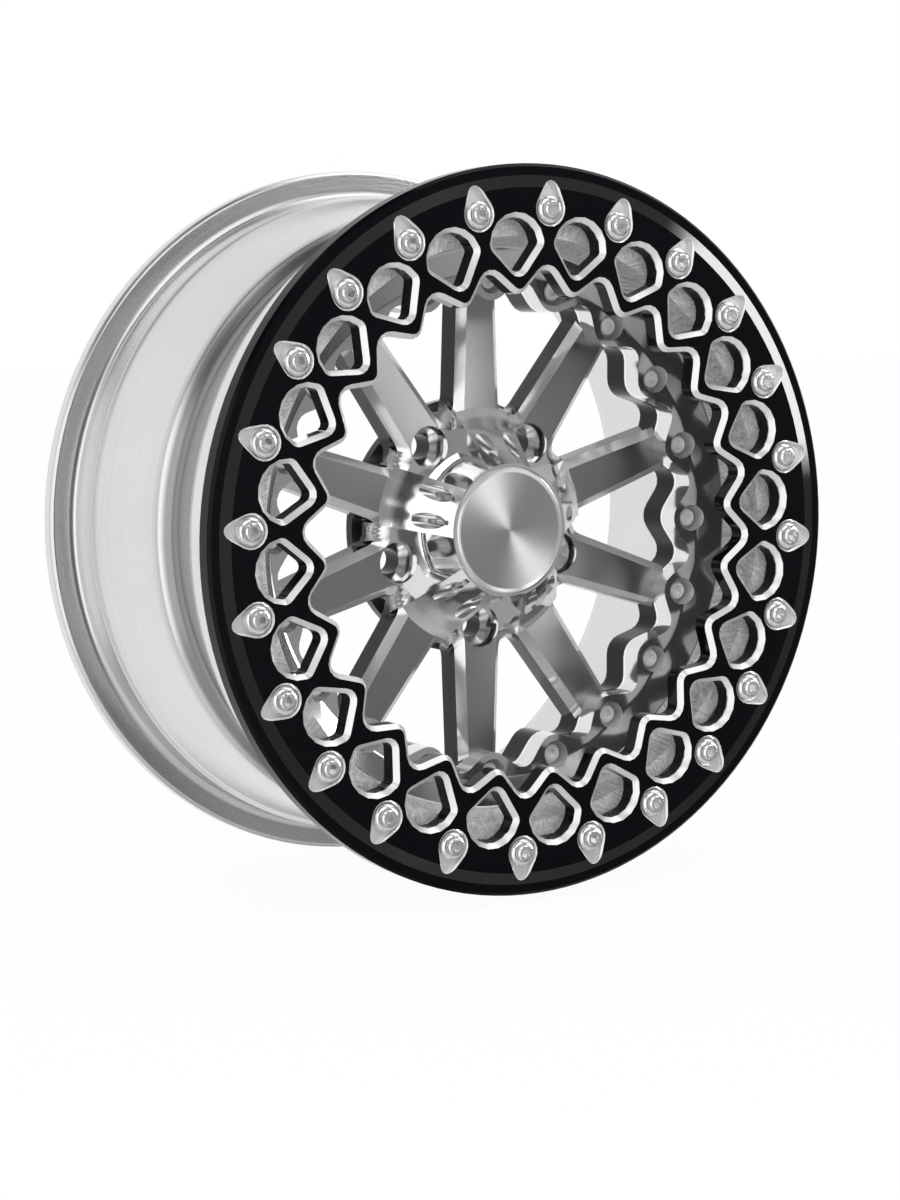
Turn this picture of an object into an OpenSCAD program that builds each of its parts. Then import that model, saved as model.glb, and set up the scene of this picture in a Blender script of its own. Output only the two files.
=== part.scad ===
// Bead-lock wheel: a barrel with a bolted-in ten-spoke centre and an outer clamp ring.
// The axle runs along Y, the street side faces -Y, and one stud hole is straight down.
// The origin is the middle of the face that meets the hub.

/* [Barrel] */
// Diameter of both bead seats
bead_d = 380; // [372:0.5:388]
// Width between the back flange and the clamp ring
rim_w = 178; // [170:1:190]
// Outer diameter of the back flange
flange_d = 412; // [408:0.5:420]
// Thickness of the back flange
flange_t = 10.5; // [9:0.5:14]
// Distance from the hub face to the clamp ring's outer face
front_offset = 84; // [78:0.5:92]
// Depth of the drop centre below the bead seats
well_depth = 17; // [14:0.5:19]
// Distance from the clamp ring to the start of the drop centre
well_start = 39; // [36:0.5:44]
// Width of the drop centre's floor
well_w = 34; // [28:0.5:36]
// Wall thickness of the shell
shell_t = 4.6; // [4:0.1:5.5]
// Inner diameter of the face that the clamp ring sits on
seat_inner_d = 327; // [324:0.5:330]
// Width of the steep slope inside that face
seat_slope_w = 5; // [4:0.5:6]
// Depth of that slope
seat_slope_h = 26; // [20:0.5:28]

/* [Inner flange] */
// Number of bolts that hold the centre
centre_bolts_n = 20; // [20:10:20]
// Diameter of their bolt circle
centre_circle_d = 279.6; // [278:0.2:281]
// Radius of each lobe round a bolt
lobe_r = 11.6; // [11:0.1:12]
// Radius of each scallop between two bolts
scallop_r = 8.6; // [8:0.1:9.2]
// Diameter across the bottoms of the scallops
scallop_d = 280; // [278:0.5:281]
// Depth of the inner flange's back face behind the clamp ring's outer face
flange_depth = 57.8; // [56:0.1:60]
// Depth of the lobes' front edges behind the clamp ring's outer face
lobe_depth = 45; // [43:0.5:46]

/* [Clamp ring] */
// Outer diameter of the clamp ring
ring_d = 405; // [400:0.5:412]
// Thickness of the clamp ring
ring_t = 12; // [10:0.5:14]
// Bevel on the windows and on the wavy inner edge
ring_bevel = 2.7; // [1.5:0.1:3.2]
// Chamfer round the outer edge
ring_chamfer = 1.7; // [1:0.1:2.5]
// Turn of the clamp ring's pattern from the vertical
ring_turn = -3; // [-7.5:0.5:7.5]
// Number of clamp bolts, windows and waves
ring_bolts_n = 24; // [24:12:24]
// Diameter of the clamp bolts' circle
ring_circle_d = 356; // [354:0.5:358]
// Inner diameter across the wave crests
crest_d = 264; // [262:0.5:268]
// Diameter across the wave troughs
trough_d = 290; // [286:0.5:292]
// Radius of a wave crest
crest_r = 7; // [6:0.2:8]
// Radius of a wave trough
trough_r = 6; // [5:0.2:8]
// Inner diameter of the sloping band near the outer edge
land_inner_d = 379; // [376:0.5:384]
// Outer diameter of that band
land_outer_d = 392; // [388:0.5:396]
// Drop of that band
land_drop = 1.2; // [0.6:0.1:2]

/* [Ring windows] */
// Radius of a window's round outer end
window_r = 15; // [13.5:0.1:16]
// Distance of that round's middle from the axle
window_mid = 158.7; // [157.5:0.1:160]
// Radius at the window's point
window_point_r = 4.3; // [3:0.1:5]
// Distance of the point's middle from the axle
window_point_mid = 148.3; // [147.5:0.1:149.5]
// Radius at the window's two corners
window_corner_r = 3.3; // [2:0.1:4]
// Angle between the window's side and the radial line
window_side_a = 42; // [40:0.5:46]

/* [Bolt pockets] */
// Radius of a pocket's round end
pocket_r = 9.6; // [9.2:0.1:10.2]
// Radius of a pocket's narrow end
pocket_tip_r = 4.5; // [3.5:0.1:5]
// Distance between the two ends' middles
pocket_len = 12; // [10:0.1:13]
// Depth of a pocket's floor
pocket_depth = 3; // [2:0.1:4]
// Bevel round a pocket
pocket_bevel = 1; // [0.4:0.1:1.6]

/* [Fasteners] */
// Thread diameter of a clamp bolt
clamp_thread_d = 8; // [7:0.5:9]
// Head diameter of a clamp bolt
clamp_head_d = 16; // [15:0.5:17]
// Head height of a clamp bolt
clamp_head_h = 6.2; // [5:0.1:7]
// Length of a clamp bolt under its head
clamp_len = 24; // [20:0.5:26]
// Diameter of the nose that holds its socket
clamp_nose_d = 9; // [8:0.1:10]
// Outer diameter of a thread insert
insert_d = 10.4; // [10:0.1:11.5]
// Length of a thread insert
insert_len = 16; // [13:0.5:17]
// Thread diameter of a centre bolt
centre_thread_d = 6; // [5:0.5:7]
// Head diameter of a centre bolt
centre_head_d = 10; // [9.5:0.1:11]
// Head height of a centre bolt
centre_head_h = 6; // [5:0.1:6.5]
// Length of a centre bolt under its head
centre_len = 18; // [14:0.5:18]
// Diameter of the pockets for the centre bolts' heads
centre_pocket_d = 15.6; // [15:0.1:16]
// Metal left under a centre bolt's head
centre_seat_t = 3.5; // [3:0.1:7]
// Width across flats of both bolts' sockets
socket_w = 5; // [4:0.1:5.5]
// Depth of both bolts' sockets
socket_h = 3.4; // [2.5:0.1:4]

/* [Centre] */
// Outer diameter of the centre's rim
centre_d = 300; // [298:0.5:304]
// Thickness of the spokes and rim
plate_t = 19; // [18:0.5:21]
// Face width of a spoke at the hub
spoke_w_hub = 21.4; // [19:0.1:22]
// Face width of a spoke at the rim
spoke_w_rim = 16; // [14:0.1:18]
// Bevel along the spokes
spoke_bevel = 4.5; // [3:0.1:5]
// Distance from the axle to the inner end of a spoke gap
gap_inner_r = 69.5; // [68:0.1:72]
// Reach of the slope at the inner end of a spoke gap
gap_slope = 9.5; // [7:0.5:10]

/* [Hub] */
// Diameter of the face that meets the vehicle's hub
pad_d = 146; // [142:1:150]
// Bore that centres the wheel on the vehicle's hub
hub_bore_d = 70; // [60:0.5:74]
// Number of stud holes
studs_n = 5; // [5:1:5]
// Diameter of the stud circle
stud_circle_d = 114.3; // [112:0.1:116]
// Diameter of a stud hole
stud_hole_d = 14.6; // [13:0.1:16]
// Diameter of the recess for a wheel nut
nut_recess_d = 24; // [23:0.1:25]
// Depth of the straight part of that recess
nut_recess_h = 6; // [4:0.1:8]
// Height of the hub's neck in front of the hub face
neck_h = 57; // [55:0.5:60]
// Diameter of the hub's neck
neck_d = 75; // [74.5:0.1:78]
// Width of the rib between two stud holes at the neck
rib_w_neck = 28.5; // [26:0.5:30]
// Width of that rib at its outer end
rib_w_end = 33; // [30:0.5:35]
// Diameter of the two slanting pockets in a rib
rib_pocket_d = 8.8; // [8:0.1:9.2]
// Distance from the axle to the middle of those pockets
rib_pocket_mid = 47.7; // [47:0.1:48.5]

/* [Centre cap] */
// Diameter of the cap's face
cap_d = 71.6; // [68:0.1:73]
// Width of the bevel round the cap
cap_bevel = 3; // [2:0.1:4]
// Thickness of the cap's face
cap_t = 4; // [3:0.1:5]
// Diameter of the cap's skirt
cap_skirt_d = 64; // [60:0.1:66]
// Length of the cap's skirt
cap_skirt_h = 11; // [9:0.5:14]
// Cord diameter of the ring round the skirt
o_ring_cord = 2.4; // [2:0.1:3]

/* [Valve] */
// Diameter of the valve's body
valve_d = 11; // [9:0.1:12]
// Diameter of the valve's foot, seal and washer
valve_foot_d = 17; // [15:0.1:19]
// Length of the valve inside the shell
valve_reach = 25; // [22:0.5:36]
// Width across flats of the valve's nut
valve_nut_w = 14; // [13:0.5:16]

/* [Hidden] */

// Running clearance between pieces that fit into each other
fit = 0.1;
// Overlap of a cut past the face that it starts from
past = 1;
// Overlap of a bevel past the face that it opens in
extra = 0.5;
// Segments of a full circle, and of an arc in an outline
$fn = 96;
arc_n = 4;
fine_n = 8;

// Levels along the axle, counted forward from the hub face
ring_front = front_offset;
ring_back = ring_front - ring_t;
rim_back = ring_back - rim_w;
rear = rim_back - flange_t;
flange_front = ring_front - lobe_depth;
flange_back = ring_front - flange_depth;
plate_back = flange_back - plate_t;

// Radii of the shell
bead_r = bead_d / 2;
well_r = bead_r - well_depth;
flange_r = flange_d / 2;
well_front = ring_back - well_start;
well_slope = 13;
well_floor_front = well_front - well_slope;
well_floor_back = well_floor_front - well_w;
leg_rise = 8;
leg_start = well_floor_back - leg_rise;
leg_drop = 8;
seat_w = 20;
seat_start = rim_back + seat_w;
hump = 1.3;
register_w = 6;
register_h = 8;
centre_r = centre_d / 2;
dish_t = 8;

// Bolt circles, lobes and the wave
lobe_mid = centre_circle_d / 2;
scallop_mid = scallop_d / 2 - scallop_r;
crest_mid = crest_d / 2 + crest_r;
trough_mid = trough_d / 2 - trough_r;
clamp_r = ring_circle_d / 2;
centre_head_seat = flange_back + centre_seat_t;
clamp_head_seat = ring_front - pocket_depth;
spokes_n = centre_bolts_n / 2;
spoke_pitch = 360 / spokes_n;
top_a = 90;
seam_a = 5.5;

// Hub and cap
cap_front = neck_h + 1;
cap_seat = cap_front - cap_t;
neck_r = neck_d / 2;
stud_r = stud_circle_d / 2;
dome = [[neck_r, neck_h], [stud_r - 1.6, 39], [stud_r + 4.4, 32.5], [stud_r + 11, flange_back]];

// Turns a piece that is drawn along Z so that its front faces -Y
module on_axle() {
    rotate([90, 0, 0]) children();
}

// Copies round the axle
module ring_of(n, turn = 0) {
    for (i = [0:n - 1]) rotate(turn + i * 360 / n) children();
}

// A shaft of the given span along Z
module span(r, z0, z1) {
    translate([0, 0, z0]) cylinder(r = r, h = z1 - z0);
}

function unit(v) = v / norm(v);

// Points of an arc
function arc(mid, r, a0, a1, n = arc_n) =
    [for (i = [0:n]) mid + r * [cos(a0 + (a1 - a0) * i / n), sin(a0 + (a1 - a0) * i / n)]];

// The signed turn from one direction to another, the short way
function turn_to(a0, a1) = let (d = a1 - a0) d > 180 ? d - 360 : d < -180 ? d + 360 : d;

// One corner of an outline, rounded to a radius
function corner(a, b, c, r) =
    let (u = unit(a - b), w = unit(c - b), half = acos(u * w) / 2)
    let (m = b + unit(u + w) * r / sin(half), p = b + u * r / tan(half) - m)
    let (q = b + w * r / tan(half) - m, a0 = atan2(p[1], p[0]), a1 = atan2(q[1], q[0]))
    r == 0 ? [b] : arc(m, r, a0, a0 + turn_to(a0, a1));

// A closed outline from corners written as [x, y, radius]
function rounded(list) = [for (i = [0:len(list) - 1])
    let (n = len(list), a = list[(i + n - 1) % n], b = list[i], c = list[(i + 1) % n])
    each corner([a[0], a[1]], [b[0], b[1]], [c[0], c[1]], b[2])];

// A closed wave round the axle: troughs that bulge outwards and crests that point inwards.
// The first trough is on the X axis, and grow widens the opening all round.
function wave(n, trough_mid, trough_r, crest_mid, crest_r, grow = 0) =
    let (pitch = 360 / n, t = [trough_mid, 0], c = crest_mid * [cos(pitch / 2), sin(pitch / 2)])
    let (gap = c - t, lean = atan2(gap[1], gap[0]))
    let (b = lean - acos((trough_r + crest_r) / norm(gap)))
    let (points = concat(arc(t, trough_r + grow, -b, b),
        arc(c, crest_r - grow, 180 + b, 180 + pitch - b)))
    [for (i = [0:n - 1]) for (p = points)
        [p[0] * cos(i * pitch) - p[1] * sin(i * pitch), p[0] * sin(i * pitch) + p[1] * cos(i * pitch)]];

// A window: a round outer end, two soft corners and a soft point towards the axle
function window_outline(grow = 0) =
    let (side = window_side_a, n = [-sin(side), cos(side)], d = [cos(side), sin(side)])
    let (mid = [window_mid, 0], point = [window_point_mid, 0])
    let (w = point + (window_point_r - window_corner_r) * n - mid)
    let (reach = window_r - window_corner_r, s = sqrt(pow(w * d, 2) - w * w + reach * reach) - w * d)
    let (k = w + s * d, a = atan2(k[1], k[0]), top = mid + k, low = [top[0], -top[1]])
    concat(arc(mid, window_r + grow, -a, a, fine_n),
        arc(top, window_corner_r + grow, a, 90 + side),
        arc(point, window_point_r + grow, 90 + side, 270 - side),
        arc(low, window_corner_r + grow, 270 - side, 360 - a));

// A teardrop from a round end of radius r at the origin to a narrow end of radius tip_r
function teardrop(r, tip_r, len, grow = 0) =
    let (a = acos((r - tip_r) / len))
    concat(arc([len, 0], tip_r + grow, -a, a), arc([0, 0], r + grow, a, 360 - a, fine_n + arc_n));

// A solid through a list of [outline, height], where all outlines have as many points
module stack(levels) {
    n = len(levels[0][0]);
    top = (len(levels) - 1) * n;
    points = [for (l = levels) for (p = l[0]) [p[0], p[1], l[1]]];
    sides = [for (k = [1:len(levels) - 1]) for (i = [0:n - 1]) let (j = (i + 1) % n, b = k * n - n)
        [b + i, b + n + i, b + n + j, b + j]];
    floor_face = [for (i = [0:n - 1]) i];
    roof_face = [for (i = [n - 1:-1:0]) top + i];
    polyhedron(points = points, faces = concat([floor_face, roof_face], sides));
}

// The scalloped opening that the inner flange and the centre's rim share
module scalloped_opening() {
    rotate(top_a - 180 / centre_bolts_n)
        polygon(wave(centre_bolts_n, scallop_mid, scallop_r, lobe_mid, lobe_r));
}

// The shell's section, from the seat for the clamp ring to the back flange and round inside
function barrel_section() =
    let (in_r = well_r - shell_t, seat_in = bead_r - shell_t - 1)
    let (back_in = centre_r + fit + register_w, dish_top = seat_inner_d / 2 - seat_slope_w)
    rounded([
        [seat_inner_d / 2, ring_back, 0],
        [bead_r, ring_back, 1.5],
        [bead_r, well_front + 6, 8],
        [bead_r - 1.5, well_front, 5],
        [well_r, well_floor_front, 7],
        [well_r, well_floor_back, 7],
        [bead_r - leg_drop, leg_start, 7],
        [bead_r - hump, seat_start + 3, 4],
        [bead_r + hump, seat_start, 2],
        [bead_r - hump, seat_start - 4, 3],
        [bead_r + hump / 2, rim_back, 5],
        [flange_r - 2, rim_back - 1, 2],
        [flange_r, rim_back - 3, 1.5],
        [flange_r, rear, 1.5],
        [flange_r - 8, rear, 2],
        [flange_r - 12, rear + 5, 5],
        [seat_in, rear + 7, 6],
        [seat_in - hump, seat_start, 4],
        [bead_r - leg_drop - shell_t - 0.6, leg_start + 1, 8],
        [in_r, well_floor_back + 2, 6],
        [in_r, well_floor_front - 1, 6],
        [seat_in, well_front - 1, 6],
        [seat_in, ring_back - insert_len - 7, 4],
        [dish_top + dish_t, ring_back - insert_len - 7, 4],
        [back_in, flange_back + 4, 5],
        [back_in, flange_back - register_h, 1],
        [centre_r + fit, flange_back - register_h, 0.6],
        [centre_r + fit, flange_back, 0],
        [lobe_mid - lobe_r - 3, flange_back, 0],
        [lobe_mid - lobe_r - 3, flange_front - 1.3, 0],
        [lobe_mid + 4, flange_front + 0.7, 7],
        [dish_top, ring_back - seat_slope_h, 0]]);

module barrel() {
    color("#c4c5c4") on_axle() difference() {
        rotate(seam_a) rotate_extrude($fn = 180) polygon(barrel_section());
        translate([0, 0, flange_back - past]) linear_extrude(flange_depth) scalloped_opening();
        ring_of(ring_bolts_n, ring_turn + top_a) translate([clamp_r, 0])
            span(insert_d / 2 + fit, ring_back - insert_len - past, ring_back + past);
        ring_of(centre_bolts_n, top_a) translate([lobe_mid, 0]) {
            span(centre_pocket_d / 2, centre_head_seat, ring_front);
            span(centre_thread_d / 2 + 3 * fit, flange_back - past, centre_head_seat + past);
        }
        valve_place() {
            span(valve_d / 2 + 2 * fit, -2 * shell_t, 2 * shell_t);
            span(valve_foot_d / 2 + 1, -4 * shell_t, valve_flat_in);
            span(valve_foot_d / 2 + 1, valve_flat_out, 2 * shell_t);
        }
    }
}

// One spoke gap, seen from the front, with its middle on the X axis. It ends in the scallops,
// grow moves its two sides and slope moves its inner end towards the axle.
function gap_outline(grow = 0, slope = 0) =
    let (near = side_point(gap_inner_r + 8), far = side_point(scallop_mid), d = unit(far - near))
    let (a = atan2(d[1], d[0]), n = [-d[1], d[0]])
    let (r = ((gap_inner_r - near[0]) * sin(a) + near[1] * cos(a)) / (1 - sin(a)))
    let (rim = gap_rim(), last = len(rim) - 1, edge = rim[last] - rim[last - 1])
    let (b = meet(near + grow * n, d, rim[last], edge))
    concat(arc([gap_inner_r + r - slope, 0], r + grow - slope * sin(a), 90 + a, 270 - a, fine_n),
        [[b[0], -b[1]]], [for (i = [1:last - 1]) rim[i]], [b]);

// A point of the wall of the spoke beside a gap, at a distance from the axle along the spoke
function side_point(reach) =
    let (half = spoke_pitch / 2, t = (reach - 63) / (lobe_mid - 63))
    let (w = spoke_bevel + (spoke_w_hub + (spoke_w_rim - spoke_w_hub) * t) / 2)
    [reach * cos(half) + w * sin(half), reach * sin(half) - w * cos(half)];

// The scallops between two spokes, with one more point at each end
function gap_rim() =
    let (w = wave(centre_bolts_n, scallop_mid, scallop_r, lobe_mid, lobe_r), n = len(w))
    let (a = -180 / centre_bolts_n, k = 3 * (arc_n + 1))
    [for (i = [-1:k]) let (p = w[(i + n) % n])
        [p[0] * cos(a) - p[1] * sin(a), p[0] * sin(a) + p[1] * cos(a)]];

// Where the line through p along d meets the line through q along e
function meet(p, d, q, e) =
    p + d * ((q[0] - p[0]) * e[1] - (q[1] - p[1]) * e[0]) / (d[0] * e[1] - d[1] * e[0]);

module wheel_centre() {
    bore_top = cap_seat - cap_skirt_h - 6;
    color("#b9babb") on_axle() difference() {
        union() {
            span(centre_r, plate_back, flange_back);
            span(pad_d / 2, 0, plate_back + past);
            hub_neck();
            intersection() {
                hub_dome();
                ring_of(studs_n, top_a) linear_extrude(neck_h + past) polygon(rib_outline());
            }
        }
        ring_of(spokes_n, top_a + spoke_pitch / 2) gap_cut();
        ring_of(centre_bolts_n, top_a) translate([lobe_mid, 0])
            span(centre_thread_d / 2 + fit, centre_head_seat - centre_len - 2, flange_back + past);
        ring_of(studs_n, -top_a) stud_recess();
        ring_of(studs_n, top_a) rib_pockets();
        span(hub_bore_d / 2, -past, bore_top);
        span(cap_skirt_d / 2 + 2 * fit, bore_top - past, cap_front);
        span(cap_d / 2 + 2 * fit, cap_seat, cap_front);
    }
}

// A spoke gap right through the plate, with its bevels and the longer slope at its inner end
module gap_cut() {
    step = gap_slope - spoke_bevel;
    wall = gap_outline();
    stack([[wall, plate_back - past], [wall, flange_back - gap_slope],
        [gap_outline(0, step), flange_back - spoke_bevel],
        [gap_outline(spoke_bevel + extra, gap_slope + extra), flange_back + extra]]);
}

// The neck that carries the cap, with a soft foot
module hub_neck() {
    rotate_extrude() polygon(rounded([[0, plate_back, 0], [47, plate_back, 0], [47, flange_back - 1, 0],
        [40, flange_back + 3, 6], [neck_r - 0.5, neck_h - 0.5, 0], [0, neck_h - 0.5, 0]]));
}

// The slope of the hub's front, of which the ribs keep their share
module hub_dome() {
    rotate_extrude() polygon(concat([[0, plate_back], [dome[3][0], plate_back]],
        [for (i = [3:-1:0]) dome[i]], [[0, neck_h]]));
}

// One rib from above, along the X axis, from inside the neck to past the slope's foot
function rib_outline() =
    let (inner = 30, outer = dome[3][0] + 4, rise = (rib_w_end - rib_w_neck) / 2 / (62 - neck_r))
    let (a = rib_w_neck / 2 + rise * (inner - neck_r), b = rib_w_neck / 2 + rise * (outer - neck_r))
    [[inner, -a], [outer, -b], [outer, b], [inner, a]];

// What is cut away for one stud: its hole, the seat for the nut's cone and the nut's recess
module stud_recess() {
    seat_low = flange_back - nut_recess_h - 6;
    translate([stud_r, 0]) {
        span(stud_hole_d / 2, -past, seat_low + past);
        translate([0, 0, seat_low])
            cylinder(r1 = stud_hole_d / 2, r2 = nut_recess_d / 2 - 1, h = 6);
        span(nut_recess_d / 2, flange_back - nut_recess_h, flange_back + 12);
    }
}

// Two slanting drilled pockets in the slope of one rib, one each side of its middle
module rib_pockets() {
    pocket_h = 9.5;
    for (side = [-1, 1]) rotate(side * 9.8) translate([rib_pocket_mid, 0, neck_h - pocket_h])
        rotate([0, -20, 0]) span(rib_pocket_d / 2, -pocket_h, 2 * pocket_h);
}

module beadlock_ring() {
    r = ring_d / 2;
    low = ring_front - land_drop;
    section = [[0, ring_back], [r - 1, ring_back], [r, ring_back + 1], [r, low - ring_chamfer],
        [r - ring_chamfer, low], [land_outer_d / 2, low], [land_inner_d / 2, ring_front],
        [0, ring_front]];
    color("#101012") on_axle() difference() {
        rotate_extrude($fn = 180) polygon(section);
        rotate(ring_turn + top_a) ring_cut(wave_points(0), wave_points(ring_bevel + extra), ring_bevel);
        ring_of(ring_bolts_n, ring_turn + top_a + 180 / ring_bolts_n)
            ring_cut(window_outline(), window_outline(ring_bevel + extra), ring_bevel);
        ring_of(ring_bolts_n, ring_turn + top_a) translate([clamp_r, 0]) clamp_pocket();
    }
}

function wave_points(grow) = wave(ring_bolts_n, trough_mid, trough_r, crest_mid, crest_r, grow);

// A cut right through the clamp ring, with a bevel at its front
module ring_cut(wall, mouth, bevel) {
    stack([[wall, ring_back - past], [wall, ring_front - bevel], [mouth, ring_front + extra]]);
}

// One teardrop pocket and the hole for its bolt
module clamp_pocket() {
    r = pocket_r - pocket_bevel;
    tip = pocket_tip_r - pocket_bevel;
    wall = teardrop(r, tip, pocket_len);
    span(clamp_thread_d / 2 + 2 * fit, ring_back - past, clamp_head_seat + past);
    stack([[wall, clamp_head_seat], [wall, ring_front - pocket_bevel],
        [teardrop(r, tip, pocket_len, pocket_bevel + extra), ring_front + extra]]);
}

// A socket with six flats, sunk from the height z
module hex_socket(z) {
    translate([0, 0, z - socket_h]) cylinder(d = socket_w / cos(30), h = socket_h + past, $fn = 6);
}

module beadlock_bolts() {
    color("#d8d8d6") on_axle() ring_of(ring_bolts_n, ring_turn + top_a)
        translate([clamp_r, 0, clamp_head_seat]) clamp_bolt();
}

// A dome head on a thin flange, with its socket in a low nose
module clamp_bolt() {
    head_r = clamp_head_d / 2;
    nose_r = clamp_nose_d / 2;
    rim_h = 1.2;
    dome_h = clamp_head_h - 1.4;
    shoulder = [for (i = [0:fine_n]) let (a = 90 * i / fine_n)
        [nose_r + (head_r - nose_r) * cos(a), rim_h + (dome_h - rim_h) * sin(a)]];
    difference() {
        rotate_extrude($fn = 48) polygon(concat([[0, -clamp_len], [clamp_thread_d / 2 - 1, -clamp_len],
            [clamp_thread_d / 2, 1 - clamp_len], [clamp_thread_d / 2, 0], [head_r, 0]], shoulder,
            [[nose_r, clamp_head_h - 0.6], [nose_r - 0.6, clamp_head_h], [0, clamp_head_h]]));
        hex_socket(clamp_head_h);
    }
}

module thread_inserts() {
    color("#8d8f90") on_axle() ring_of(ring_bolts_n, ring_turn + top_a)
        translate([clamp_r, 0]) difference() {
            span(insert_d / 2, ring_back - insert_len, ring_back);
            span(clamp_thread_d / 2 + fit, ring_back - insert_len - past, ring_back + past);
        }
}

module centre_bolts() {
    color("#cfcfcd") on_axle() ring_of(centre_bolts_n, top_a)
        translate([lobe_mid, 0, centre_head_seat]) socket_bolt();
}

// A cylindrical head with a chamfered top, a socket and a shank
module socket_bolt() {
    r = centre_head_d / 2;
    t = centre_thread_d / 2;
    difference() {
        rotate_extrude($fn = 48) polygon([[0, -centre_len], [t - 0.8, -centre_len],
            [t, 0.8 - centre_len], [t, 0], [r, 0], [r, centre_head_h - 0.6],
            [r - 0.6, centre_head_h], [0, centre_head_h]]);
        hex_socket(centre_head_h);
    }
}

module centre_cap() {
    r = cap_d / 2;
    skirt_r = cap_skirt_d / 2;
    groove = cap_seat - cap_skirt_h / 2;
    color("#9a9c9e") on_axle() difference() {
        union() {
            rotate_extrude() polygon([[0, cap_seat], [r - 0.4, cap_seat], [r, cap_seat + 0.4],
                [r, cap_front - 2], [r - 0.6, cap_front - 0.6], [r - 1.2, cap_front],
                [r - cap_bevel, cap_front - 0.8], [0, cap_front - 0.8]]);
            span(skirt_r, cap_seat - cap_skirt_h, cap_seat + past);
        }
        span(skirt_r - 4.5, cap_seat - cap_skirt_h - past, cap_seat - 0.5);
        rotate_extrude() translate([skirt_r, groove]) square([4, o_ring_cord + 4 * fit], center = true);
    }
}

// A rubber ring pressed flat between the skirt's groove and the bore
module cap_o_ring() {
    skirt_r = cap_skirt_d / 2;
    color("#1a1a1a") on_axle() translate([0, 0, cap_seat - cap_skirt_h / 2]) difference() {
        span(skirt_r + fit, -o_ring_cord / 2, o_ring_cord / 2);
        span(skirt_r - 2 + fit, -o_ring_cord, o_ring_cord);
    }
}

// The valve stands in the floor of the drop centre, level with a spoke gap.
// Its own Z axis points outwards from the axle, and zero is at the floor's inner face.
valve_a = 72;
valve_z = well_floor_back + 10;
valve_flat_in = 0.35;
valve_flat_out = shell_t - 0.35;
seal_t = 2;
washer_t = 1.5;
nut_t = 5;
cap_len = 11;
stem_r = 3.9;
core_r = 2.6;
module valve_place() {
    rotate(valve_a) translate([well_r - shell_t, 0, valve_z]) rotate([0, 90, 0]) children();
}

// The foot outside the shell, the threaded body through it and the thin stem
module valve_stem() {
    foot_t = 3;
    top = valve_flat_out + seal_t;
    nut_end = valve_flat_in - washer_t - nut_t - 2;
    color("#b8b6ae") on_axle() valve_place() difference() {
        union() {
            span(valve_foot_d / 2, top, top + foot_t);
            span(valve_d / 2, nut_end, top + fit);
            span(stem_r, -valve_reach, nut_end + fit);
        }
        span(core_r + fit, -valve_reach - past, -valve_reach + 20);
        span(1.5, -valve_reach, top + foot_t + past);
    }
}

module valve_seal() {
    color("#1c1c1c") on_axle() valve_place() difference() {
        span(valve_foot_d / 2, valve_flat_out, valve_flat_out + seal_t);
        span(valve_d / 2 + fit, 0, 2 * shell_t + seal_t);
    }
}

module valve_washer() {
    color("#c8c8c6") on_axle() valve_place() difference() {
        span(valve_foot_d / 2, valve_flat_in - washer_t, valve_flat_in);
        span(valve_d / 2 + fit, -shell_t, shell_t);
    }
}

module valve_nut() {
    top = valve_flat_in - washer_t;
    color("#c8c8c6") on_axle() valve_place() difference() {
        translate([0, 0, top - nut_t]) cylinder(d = valve_nut_w / cos(30), h = nut_t, $fn = 6);
        span(valve_d / 2 + fit, top - nut_t - past, top + past);
    }
}

// The spring-loaded core, screwed into the end of the stem
module valve_core() {
    color("#c9a24a") on_axle() valve_place() {
        span(core_r, -valve_reach + 2, -valve_reach + 18);
        span(0.9, -valve_reach - 0.5, -valve_reach + 2 + fit);
    }
}

module valve_cap() {
    r = stem_r + 1.3;
    color("#202124") on_axle() valve_place() difference() {
        union() {
            span(r, -valve_reach - 3, -valve_reach + cap_len - 3);
            ring_of(12) translate([r - 0.2, 0]) span(0.6, -valve_reach - 2, -valve_reach + cap_len - 4);
        }
        span(stem_r + fit, -valve_reach - fit, -valve_reach + cap_len);
        span(1.2, -valve_reach - 1.2, -valve_reach);
    }
}

barrel();
wheel_centre();
beadlock_ring();
beadlock_bolts();
thread_inserts();
centre_bolts();
centre_cap();
cap_o_ring();
valve_stem();
valve_seal();
valve_washer();
valve_nut();
valve_core();
valve_cap();
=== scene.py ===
"""Bead-lock wheel: finishes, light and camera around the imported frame."""

import math

import bmesh
import bpy
from mathutils import Matrix, Vector


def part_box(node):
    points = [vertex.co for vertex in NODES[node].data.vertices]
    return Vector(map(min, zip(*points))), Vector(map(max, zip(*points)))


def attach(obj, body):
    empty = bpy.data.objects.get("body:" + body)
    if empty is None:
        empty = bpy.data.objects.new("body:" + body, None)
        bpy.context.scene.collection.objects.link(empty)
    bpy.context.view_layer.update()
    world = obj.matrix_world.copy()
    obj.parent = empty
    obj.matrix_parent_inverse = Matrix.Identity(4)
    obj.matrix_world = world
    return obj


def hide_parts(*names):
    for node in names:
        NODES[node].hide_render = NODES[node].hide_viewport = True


bl_info = {
    "name": "Bead-lock wheel",
    "version": (1, 0, 0),
    "blender": (4, 5, 0),
    "location": "View3D > Sidebar > Wheel",
    "description": "Dresses a bolted bead-lock wheel and sets up a studio for it",
    "category": "Object",
}

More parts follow.
